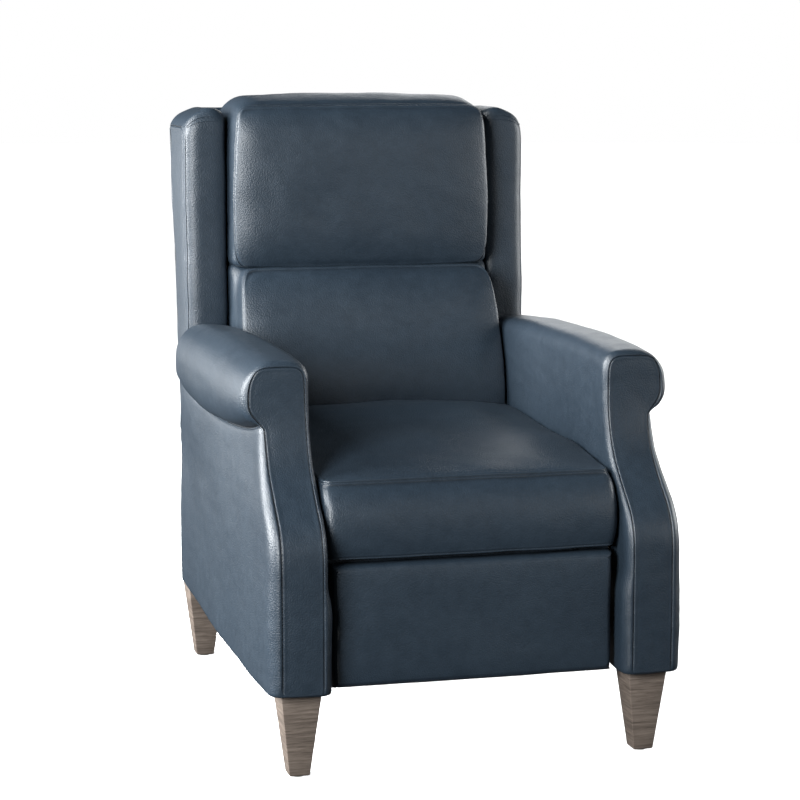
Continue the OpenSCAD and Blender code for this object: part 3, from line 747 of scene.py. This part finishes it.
for side, word in ((-1, "left"), (1, "right")):
    under_roll = [(side * 350, y, roll_under(y) - 1) for y in (-378, -365, -271, -156, 5, 155, 262)]
    welt("arm_roll_welt_" + word, arms[side], "base", under_roll, 1.3, 110)

# ---------------------------------------------------------------- wings and the outside back

WING_X = (262, 344.5)
PANEL = 14


def rear_y(z):
    return 515 - 0.1655 * (1060 - z) + 22 * (np.maximum(0, 600 - z) / 150) ** 2


def wing_edge(y):
    """The wing's slanted lower edge, 7.5 mm over the arm."""
    return 448.5 + (430 - y) * 1.0263


wing_front = spline([540, 679, 883, 1066, 1100], [325, 320, 327, 332, 334])
crest = spline([262, 275, 290, 310, 330, 338, 342, 344.5], [1086, 1094, 1098, 1092, 1081, 1073, 1067, 1063])


def wing_outline(front, top, rear, foot):
    """The wing's side outline as [y, z], drawn in by a distance at its front, top, rear and foot."""
    high = 1098 - top
    turn = 22
    zs = np.linspace(high - turn - 6, wing_edge(325) + 14, 9)
    foot_y = 420 - rear
    low = wing_edge(foot_y) + foot
    back = [(rear_y(z) - PANEL - rear, z) for z in np.linspace(low + 14, high - 16, 12)]
    bend = 9
    bend_y = rear_y(high) - PANEL - rear - bend
    rear_low = arc((bend_y, high - bend), (bend, bend), 0, 45, 2)
    rear_high = arc((bend_y, high - bend), (bend, bend), 45, 90, 2)
    fy = wing_front(high) + front
    knee = arc((fy + turn, high - turn), (turn, turn), 135, 180, 3)
    corner = arc((fy + turn, high - turn), (turn, turn), 90, 135, 3)
    edge = [(wing_front(z) + front, z) for z in zs]
    sole = wing_front(560) + front
    start = (sole + 4, wing_edge(sole + 4) + foot)
    return trace(
        ([start, (370, wing_edge(370) + foot), (foot_y, low)], 12),
        ([(foot_y, low), (foot_y + 4, low + 5)] + back + rear_low, 40),
        (rear_high + corner, 12),
        (knee + edge + [start], 40),
    )


def wing(side, name, replaced, seed):
    """A wing's cover: rounded front and inner edges, a sewn-in side panel and a capped top."""
    nu, nv = 12, 40
    outer_round, inner_round, rear_round = 30, 24, 5
    rows = []
    for x in (344.5, 343.2, 341, 338, 334, 329, 323, 315, 306, 297, 288, 280, 274, 269, 265, 262):
        d, e = WING_X[1] - x, x - WING_X[0]
        outer = 1 - np.sqrt(1 - max(0, 1 - d / outer_round) ** 2)
        inner = 1 - np.sqrt(1 - max(0, 1 - e / inner_round) ** 2)
        rear = rear_round - np.sqrt(max(0, rear_round**2 - max(0, rear_round - d) ** 2))
        yz = wing_outline(22 * outer + 15 * inner, 1098 - crest(x), rear, rear)
        rows.append(np.insert(yz, 0, x, axis=1))
    seam = rows[0]
    across = outward(seam, (1, 2))
    out = np.array([1.0, 0, 0])
    rings = [seam + (a - 2.5) * across + (h - 1.2) * out for a, h in FACE_SIDE]
    rings.append(seam - 2.5 * across + (CREASE - 1.6) * out)
    rings += [seam - 1.4 * across - 0.7 * out, seam - 0.2 * across]
    rings += rows[1:]
    obj = shell(name, rings, nu, nv)
    pillow(obj, 0, len(seam), 2.0, (1, 0, 0), 0.6)
    if side < 0:
        mirror(obj)
    subdivide(obj)
    return upholster(obj, "back", replaced, seed, ((0.5, 130), (0.15, 40)))


def wing_welts(side, word, cover):
    """The seam down the wing's front corner and the two pleats it opens into under the cap."""
    def at(x, back, z):
        return (side * x, wing_front(z) + back, z)

    corner = [(341, 12, z) for z in (590, 680, 780, 880, 980, 1040, 1063)]
    upper = [(341, 12, 1062), (333, 5, 1072), (318, 1, 1080), (300, 0, 1083), (284, 0, 1081)]
    lower = [(340, 10, 1060), (331, 4, 1066), (316, 0, 1071), (298, 0, 1073), (278, 2, 1072)]
    for part, radius, line in (
        ("corner", 0.9, [at(*place) for place in corner]),
        ("cap", 0.9, [(side * 345.5, y, 1063 + 0.01 * (y - 345)) for y in (347, 390, 440, 490)]),
        ("upper_pleat", 0.8, [at(*place) for place in upper]),
        ("lower_pleat", 0.7, [at(*place) for place in lower]),
    ):
        welt("wing_" + part + "_welt_" + word, cover, "back", line, radius)


for side, word in ((-1, "left"), (1, "right")):
    wing_welts(side, word, wing(side, "wing_leather_" + word, ("wing_" + word,), 13 + side))


def back_cover(name, body, replaced, half, low, high, rear, depth, top_corner, seed):
    """A padded panel seen from behind: its rear face is at rear(z), with a welted seam round its edge."""
    nu, nv = 28, 36
    lows = [(-half, low), (0, low), (half, low)]
    side_r = [(half, low), (half, (low + high) / 2)] + [(half, top_corner[0][1] - 12)] + top_corner[:2]
    tops = top_corner[1:] + [(0, high)] + [(-x, z) for x, z in top_corner[:0:-1]]
    side_l = [(-x, z) for x, z in side_r[::-1]]
    xz = trace((lows, nu), (side_r, nv), (tops, nu), (side_l, nv))
    outer = np.stack([xz[:, 0], rear(xz[:, 1]), xz[:, 1]], 1)
    inner = outward(outer, (0, 2))

    def ring(inset, back):
        r = outer - inset * inner
        r[:, 1] = rear(r[:, 2]) - back
        return r

    rows = [
        (15, -0.9), (12.5, -1), (10.5, -1.3), (9.2, -0.6), (8, 2.4), (6.6, -0.4), (5, 0), (3, 1), (1.2, 2.8),
        (0, 6), (0, depth - 3), (2, depth),
    ]
    rings = [ring(inset, back) for inset, back in rows]
    obj = shell(name, rings, nu, nv)
    flush(obj, lambda co: rear(co[:, 2]) + 0.9)
    pillow(obj, 0, len(outer), 4, (0, 1, 0), 0.4)
    subdivide(obj)
    return upholster(obj, body, replaced, seed, ((0.8, 170), (0.3, 50)))


back_cover(
    "back_leather_outside", "back", ("outside_back",), 343, 451, 1098, rear_y, PANEL,
    [(341.5, 1050), (333, 1071), (312, 1087), (284, 1096)], 21,
)
back_cover(
    "back_leather_base", "base", ("rear_panel",), 261.5, 147, 425, lambda z: 430 + 0 * z, PANEL,
    [(261.5, 410), (259, 422), (245, 425), (200, 425)], 22,
)

# ---------------------------------------------------------------- head and lumbar cushions


def mirrored(points):
    return [(-x, z) for x, z in points[::-1]]


head_side = [
    (231, 791), (242, 795), (249, 804), (253.5, 822), (256, 850), (256.8, 900), (256, 950), (253.5, 1000),
    (250, 1045), (246, 1078), (242.5, 1092), (232, 1099.5),
]
head_seam_y = spline([780, 793, 835, 942, 1000, 1057, 1091, 1106], [296, 290, 290, 290, 291, 294, 301, 309])


def head_cushion():
    """The head cushion: a crowned face, and boxing that widens and turns over the top of the back."""
    nu, nv = 30, 26
    xz = trace(
        ([(-231, 791), (-120, 788.5), (0, 788), (120, 788.5), (231, 791)], nu),
        (head_side, nv),
        ([(232, 1099.5), (200, 1102), (0, 1104), (-200, 1102), (-232, 1099.5)], nu),
        (mirrored(head_side), nv),
    )
    turn = arc((205, 1070), (49, 50), 8, 45, 3)
    side = [(252, 790), (260, 800), (260.3, 880), (260, 1000), (256.5, 1048)] + turn
    top = arc((205, 1070), (49, 50), 45, 90, 3) + [(100, 1122)]
    back_xz = trace(
        ([(-252, 790), (0, 788), (252, 790)], nu),
        (side, nv),
        (top + [(0, 1122.5)] + mirrored(top), nu),
        (mirrored(side), nv),
    )
    seam = np.stack([xz[:, 0], head_seam_y(xz[:, 1]), xz[:, 1]], 1)
    across = outward(seam, (0, 2))
    rings = boxed_edge(seam, across, FRONT)
    high = smooth(xz[:, 1], 1062, 1090)
    rear = np.interp(xz[:, 1], [788, 1062, 1070, 1110], [337, 393, 396, 398]) + 101 * high
    for t in (0.07, 0.12, 0.18, 0.25, 0.33, 0.43, 0.54, 0.66, 0.78, 0.88, 0.95, 1.0):
        spread = np.sin(pi / 2 * min(1, t / 0.38))
        ring = seam.copy()
        ring[:, 1] += (rear - seam[:, 1]) * t
        ring[:, [0, 2]] += spread * (back_xz - xz)
        ring[:, 2] -= 14 * high * max(0, (t - 0.8) / 0.2) ** 2
        rings.append(ring)
    held = SEAM_ROWS + list(range(len(rings) - 3, len(rings)))
    obj = shell("head_leather", rings, nu, nv)
    flush(obj, lambda co: head_seam_y(co[:, 2]) - FACE_SIDE[0][1])
    pillow(obj, CREASE_ROW, len(seam), 21, FRONT, 0.33)
    inflate(obj, ring_ids(held, len(seam)), cap=3.5, pressure=2.0, slack=0.003)
    fit_between(obj, 260.8)
    subdivide(obj)
    return upholster(obj, "back", ("head_cushion",), 31, ((0.6, 140), (0.2, 45)))


def fit_between(obj, half):
    """Eases points that pass the half width in, so a cushion presses flat against its neighbours."""
    co = points_of(obj.data)
    limit, soft = half * MM, 3 * MM
    x = np.abs(co[:, 0])
    over = np.maximum(0, x - (limit - soft))
    co[:, 0] = np.sign(co[:, 0]) * np.where(over > 0, limit - soft + soft * (1 - np.exp(-over / soft)), x)
    move_points(obj.data, co)


lumbar_side = [
    (254, 400), (256, 450), (257.5, 524), (257.5, 615), (257, 660), (256, 690), (254, 720), (251.5, 750),
    (247, 772), (238, 786),
]
lumbar_seam_y = spline(
    [396, 450, 524, 559, 590, 615, 645, 683, 707, 735, 762, 786, 796],
    [176, 170, 168, 170, 176, 184, 197, 211, 218, 228, 242, 260, 274],
)


def lumbar_cushion():
    """The lumbar cushion: a crowned face that leans back at its top, and boxing beside it."""
    nu, nv = 30, 32
    xz = trace(
        ([(-254, 400), (0, 398), (254, 400)], nu),
        (lumbar_side, nv),
        ([(238, 786), (215, 790), (0, 791), (-215, 790), (-238, 786)], nu),
        (mirrored(lumbar_side), nv),
    )
    gusset = [(257, 400), (260.5, 450), (261, 600), (261, 760), (260.5, 788), (255, 797)]
    back_xz = trace(
        ([(-257, 400), (0, 398), (257, 400)], nu),
        (gusset, nv),
        ([(255, 797), (0, 796), (-255, 797)], nu),
        (mirrored(gusset), nv),
    )
    seam = np.stack([xz[:, 0], lumbar_seam_y(xz[:, 1]), xz[:, 1]], 1)
    across = outward(seam, (0, 2))
    slope = (lumbar_seam_y(xz[:, 1] + 5) - lumbar_seam_y(xz[:, 1] - 5)) / 10
    out = np.stack([0 * slope, -1 + 0 * slope, slope], 1)
    out /= np.linalg.norm(out, axis=1)[:, None]
    rings = boxed_edge(seam, across, out)
    rear = np.interp(xz[:, 1], [396, 488, 700, 791], [230, 252, 312, 337])
    for t in (0.14, 0.26, 0.38, 0.5, 0.62, 0.74, 0.86, 0.95, 1.0):
        ring = seam.copy()
        ring[:, 1] += (rear - seam[:, 1]) * t
        ring[:, [0, 2]] += smooth(t, 0.45, 0.9) * (back_xz - xz)
        ring[:, 0] += np.sign(xz[:, 0]) * 1.6 * (np.abs(xz[:, 0]) > 230) * (1 - t)
        rings.append(ring)
    # Flaps carry the boxing back over the sides of the back's boards, then tuck in
    flap = smooth(np.abs(back_xz[:, 0]), 236, 254) * smooth(xz[:, 1], 510, 556)
    behind = flap * np.maximum(0, 346 - rear)
    for _ in range(2):
        rings.append(rings[-1] + np.outer(behind / 2, [0, 1, 0]))
    tucked = rings[-1].copy()
    tucked[:, 0] -= np.sign(tucked[:, 0]) * 5 * flap
    rings += [tucked, tucked - np.outer(behind, [0, 1, 0])]
    held = SEAM_ROWS + list(range(len(rings) - 8, len(rings)))
    obj = shell("lumbar_leather", rings, nu, nv)
    flush(obj, lambda co: lumbar_seam_y(co[:, 2]) - FACE_SIDE[0][1])
    pillow(obj, CREASE_ROW, len(seam), 14, (0, -0.97, 0.24), 0.25)
    inflate(obj, ring_ids(held, len(seam)), cap=3.5, pressure=2.0, slack=0.003)
    fit_between(obj, 261.2)
    subdivide(obj)
    return upholster(obj, "back", ("lumbar_cushion",), 32, ((0.6, 140), (0.2, 45)))


head_cushion()
lumbar_cushion()

# ---------------------------------------------------------------- seat cushion and footrest


# How far the middle of a round corner lies from each side, over its radius
CORNER_CUT = 0.2929


def seat_cushion():
    """The seat cushion: a crowned top, and a front that rolls down to a welt over the seat's rail."""
    nu, nv = 32, 36
    rear = 157

    def plan(half, nose, corner):
        c = corner * CORNER_CUT
        turn, heel = (half - c, nose + c), (half - 4, rear - 4)
        front = [(-turn[0], turn[1]), (-half + corner, nose), (0, nose - 1.5), (half - corner, nose), turn]
        right = [turn, (half, nose + corner), (half + 0.8, -200), (half, rear - 12), heel]
        back = [heel, (half - 14, rear), (0, rear), (14 - half, rear), (-heel[0], heel[1])]
        return trace((front, nu), (right, nv), (back, nu), (mirrored(right), nv))

    def level(half, nose, corner, front_z, side_z, rise=0):
        xy = plan(half, nose, corner)
        z = front_z + (side_z - front_z) * smooth(xy[:, 1], nose + 8, nose + 220)
        middle = 1 - np.minimum(1, np.abs(xy[:, 0]) / half) ** 3
        return np.insert(xy, 2, z + rise * (1 + 0.6 * middle) * smooth(xy[:, 1], -160, 150), axis=1)

    seam = level(254.5, -438, 22, 491, 507, 14)
    across = outward(seam, (0, 1))
    low = level(254, -472, 22, 369, 369)
    low_across = outward(low, (0, 1))
    tilt = 0.45 * np.clip(-across[:, 1:2], 0, 1)
    out = UP + tilt * across
    out /= np.linalg.norm(out, axis=1)[:, None]
    side = across - tilt * UP
    side /= np.linalg.norm(side, axis=1)[:, None]
    rings = [seam + a * across + h * UP for a, h in FACE_SIDE]
    rings.append(seam + CREASE * (side + out))
    rings += [seam - b * out + h * side for b, h in BOX_SIDE[:3]]
    for half, nose, corner, z, side_z, rise in (
        (256, -452, 22, 478, 493, 11), (257, -462, 22, 466, 477, 8), (258, -470, 22, 450, 458, 5),
        (258.5, -475, 22, 432, 438, 2), (258.5, -477, 22, 412, 414, 0), (257.5, -476.5, 22, 394, 395, 0),
        (256, -474.5, 22, 379, 379, 0),
    ):
        rings.append(level(half, nose, corner, z, side_z, rise))
    rings += [
        low + a * low_across + h * UP
        for a, h in ((0.6, 4.5), (0.9, 2.2), (-1.6, 0), (0.4, -2.2), (-2.5, -4.2), (-12, -4.6))
    ]
    obj = shell("seat_leather", rings, nu, nv)
    pillow(obj, CREASE_ROW, len(seam), 20, UP, 0.4)
    held = SEAM_ROWS + list(range(len(rings) - 6, len(rings)))
    inflate(obj, ring_ids(held, len(seam)), cap=3, pressure=1.5, slack=0.003)
    fit_between(obj, 260.2)
    subdivide(obj)
    return upholster(obj, "seat", ("seat_cushion",), 41, ((0.6, 150), (0.2, 50)))


def footrest():
    """The footrest's padded front, wrapped round the edges of its board."""
    nu, nv = 30, 14
    lo, hi = (146.5, 356.5)
    half = 246

    def outline(inset, y):
        w, a, b, r = half - inset, lo + inset, hi - inset, 9
        c = r * CORNER_CUT
        right = [(w - c, a + c), (w, a + r), (w, b - r), (w - c, b - c)]
        xz = trace(
            ([(-w + c, a + c), (-w + r, a), (0, a), (w - r, a), (w - c, a + c)], nu),
            (right, nv),
            ([(w - c, b - c), (w - r, b), (0, b), (-w + r, b), (-w + c, b - c)], nu),
            (mirrored(right), nv),
        )
        return np.insert(xz, 1, y, axis=1)

    rows = [
        (8.5, -478.2), (5.5, -477), (3.2, -475.2), (1.6, -472.4), (0.6, -469), (0, -464), (0, -456),
        (0, -446), (1.5, -443), (8, -442.6),
    ]
    rings = [outline(inset, y) for inset, y in rows]
    obj = shell("footrest_leather", rings, nu, nv)
    pillow(obj, 0, 2 * (nu + nv), 4.0, FRONT, 0.4)
    inflate(obj, ring_ids(range(4, len(rings)), 2 * (nu + nv)), cap=1.5, pressure=1.0, slack=0.002)
    subdivide(obj)
    return upholster(obj, "footrest", ("footrest_pad",), 51, ((0.45, 170), (0.08, 50)))


def rail_cover():
    """The leather strip over the front rail of the seat, seen between the cushion and the footrest."""
    nu, nv = 30, 5
    lo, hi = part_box("seat_rail_front")
    half, low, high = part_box("seat_rail_right")[1][0] / MM - 0.5, lo[2] / MM + 5, hi[2] / MM + 5
    face = lo[1] / MM

    def outline(inset, y):
        w, a, b = half - inset, low + inset, high - inset
        xz = trace(
            ([(-w, a), (0, a), (w, a)], nu), ([(w, a), (w, b)], nv),
            ([(w, b), (0, b), (-w, b)], nu), ([(-w, b), (-w, a)], nv),
        )
        return np.insert(xz, 1, y, axis=1)

    rows = [(7, -2.6), (4, -2.5), (2, -2.1), (0.8, -1.5), (0.2, -0.8), (0, -0.3)]
    obj = shell("rail_leather", [outline(inset, face + y) for inset, y in rows], nu, nv)
    subdivide(obj)
    obj.data.materials.append(HIDE)
    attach(obj, "seat")


seat_cushion()
footrest()
rail_cover()

# ---------------------------------------------------------------- legs


LEG_TAPER = 35 / 69


def leg(name, replaced):
    """A tapered square leg with eased edges."""
    lo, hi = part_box(replaced)
    cx, cy = (lo[0] + hi[0]) / 2 / MM, (lo[1] + hi[1]) / 2 / MM
    foot, top = lo[2] / MM, hi[2] / MM
    half_top = (hi[0] - lo[0]) / 2 / MM
    half_foot = half_top * LEG_TAPER
    ease = 1.5
    rows = []
    for t, inset in (
        (0, 2.2), (0.006, 0.7), (0.018, 0), (0.25, 0), (0.5, 0), (0.75, 0), (0.985, 0), (0.996, 0.5),
        (1, 1.6),
    ):
        h = half_foot + (half_top - half_foot) * t - inset
        ring = []
        for quarter in range(4):
            corner = arc((h - ease, h - ease), (ease, ease), 0, 90, 4)
            a = quarter * pi / 2
            ring += [(x * np.cos(a) - y * np.sin(a), x * np.sin(a) + y * np.cos(a)) for x, y in corner]
        rows.append([(cx + x, cy + y, foot + (top - foot) * t) for x, y in ring])
    n = len(rows[0])
    faces = [
        [k * n + i, k * n + (i + 1) % n, (k + 1) * n + (i + 1) % n, (k + 1) * n + i]
        for k in range(len(rows) - 1)
        for i in range(n)
    ]
    faces += [list(range(n)), list(range((len(rows) - 1) * n, len(rows) * n))]
    obj = solid(name, np.vstack(rows), faces)
    obj.data.materials.append(LOOKS["leg_wood"])
    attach(obj, "base")
    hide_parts(replaced)


for place in ("front_left", "front_right", "rear_left", "rear_right"):
    leg("leg_tapered_" + place, "leg_" + place)

# ---------------------------------------------------------------- floor, light and camera


def floor():
    """A wide pale disc."""
    n = Nodes("floor_pale")
    tone = n.shade((0.86, 0.86, 0.865, 1), n.span(n.noise(3, 3.0), 0.3, 0.7, 0.985, 1.0))
    material = n.done(tone, 0.75, Specular_IOR_Level=0.1)
    mesh = bpy.data.meshes.new("floor")
    steps, reach = 48, 30.0
    turns = [2 * pi * i / steps for i in range(steps)]
    mesh.from_pydata([(reach * np.cos(a), reach * np.sin(a), 0.0) for a in turns], [], [list(range(steps))])
    mesh.materials.append(material)
    obj = bpy.data.objects.new("floor", mesh)
    bpy.context.collection.objects.link(obj)
    return obj


CHAIR_MIDDLE = (0, 0, 0.55)
LIGHT_AWAY = 4


def area_light(name, azimuth, height, size, power):
    """A soft box that far round and up from the chair's middle; azimuth 0 is in front, 90 on the left."""
    data = bpy.data.lights.new(name, "AREA")
    data.shape = "RECTANGLE"
    data.size, data.size_y = size
    data.energy = power
    data.color = (0.96, 0.985, 1)
    obj = bpy.data.objects.new(name, data)
    bpy.context.collection.objects.link(obj)
    a, e = radians(azimuth), radians(height)
    out = LIGHT_AWAY * Vector((-np.sin(a) * np.cos(e), -np.cos(a) * np.cos(e), np.sin(e)))
    obj.location = Vector(CHAIR_MIDDLE) + out
    obj.rotation_euler = (-out).to_track_quat("-Z", "Y").to_euler()


ground = floor()
ground.visible_diffuse = ground.visible_glossy = False
for name, azimuth, height, size, power in (
    ("key_front_left", 45, 17, (1.5, 1.9), 235),
    ("side_left", 99, 15, (2.2, 1.8), 390),
    ("upper_left", 100, 42, (1.5, 1.5), 120),
    ("rear_right", -150, 22, (2.6, 2.0), 40),
    ("side_right", -93, 12, (2.6, 2.0), 120),
    ("front_fill", -38, 12, (2.0, 2.0), 20),
    ("low_rear_left", 145, 4, (1.5, 1.5), 24),
):
    area_light(name, azimuth, height, size, power)
wash = bpy.data.lights.new("floor_wash", "SUN")
wash.energy, wash.angle = 4.2, radians(70)
wash.use_shadow = False
lamp = bpy.data.objects.new("floor_wash", wash)
bpy.context.collection.objects.link(lamp)
only_floor = bpy.data.collections.new("floor_only")
only_floor.objects.link(ground)
lamp.light_linking.receiver_collection = only_floor

world = bpy.data.worlds.new("studio")
bpy.context.scene.world = world
world.use_nodes = True
tree = world.node_tree
back = tree.nodes["Background"]
back.inputs["Color"].default_value = (0.97, 0.985, 1.0, 1)
back.inputs["Strength"].default_value = 0.035
white = tree.nodes.new("ShaderNodeBackground")
white.inputs["Color"].default_value = (1, 1, 1, 1)
seen = tree.nodes.new("ShaderNodeLightPath")
pick = tree.nodes.new("ShaderNodeMixShader")
tree.links.new(seen.outputs["Is Camera Ray"], pick.inputs[0])
tree.links.new(back.outputs[0], pick.inputs[1])
tree.links.new(white.outputs[0], pick.inputs[2])
tree.links.new(pick.outputs[0], tree.nodes["World Output"].inputs["Surface"])
bpy.context.scene.view_settings.view_transform = "Standard"

camera = bpy.data.cameras.new("camera")
camera.lens = 107.79
camera.sensor_width = 36
viewer = bpy.data.objects.new("camera", camera)
bpy.context.collection.objects.link(viewer)
viewer.location = (-1.15924, -4.26966, 1.19208)
viewer.rotation_euler = (radians(90 - 8.1025), 0, -radians(15.1598))
bpy.context.scene.camera = viewer
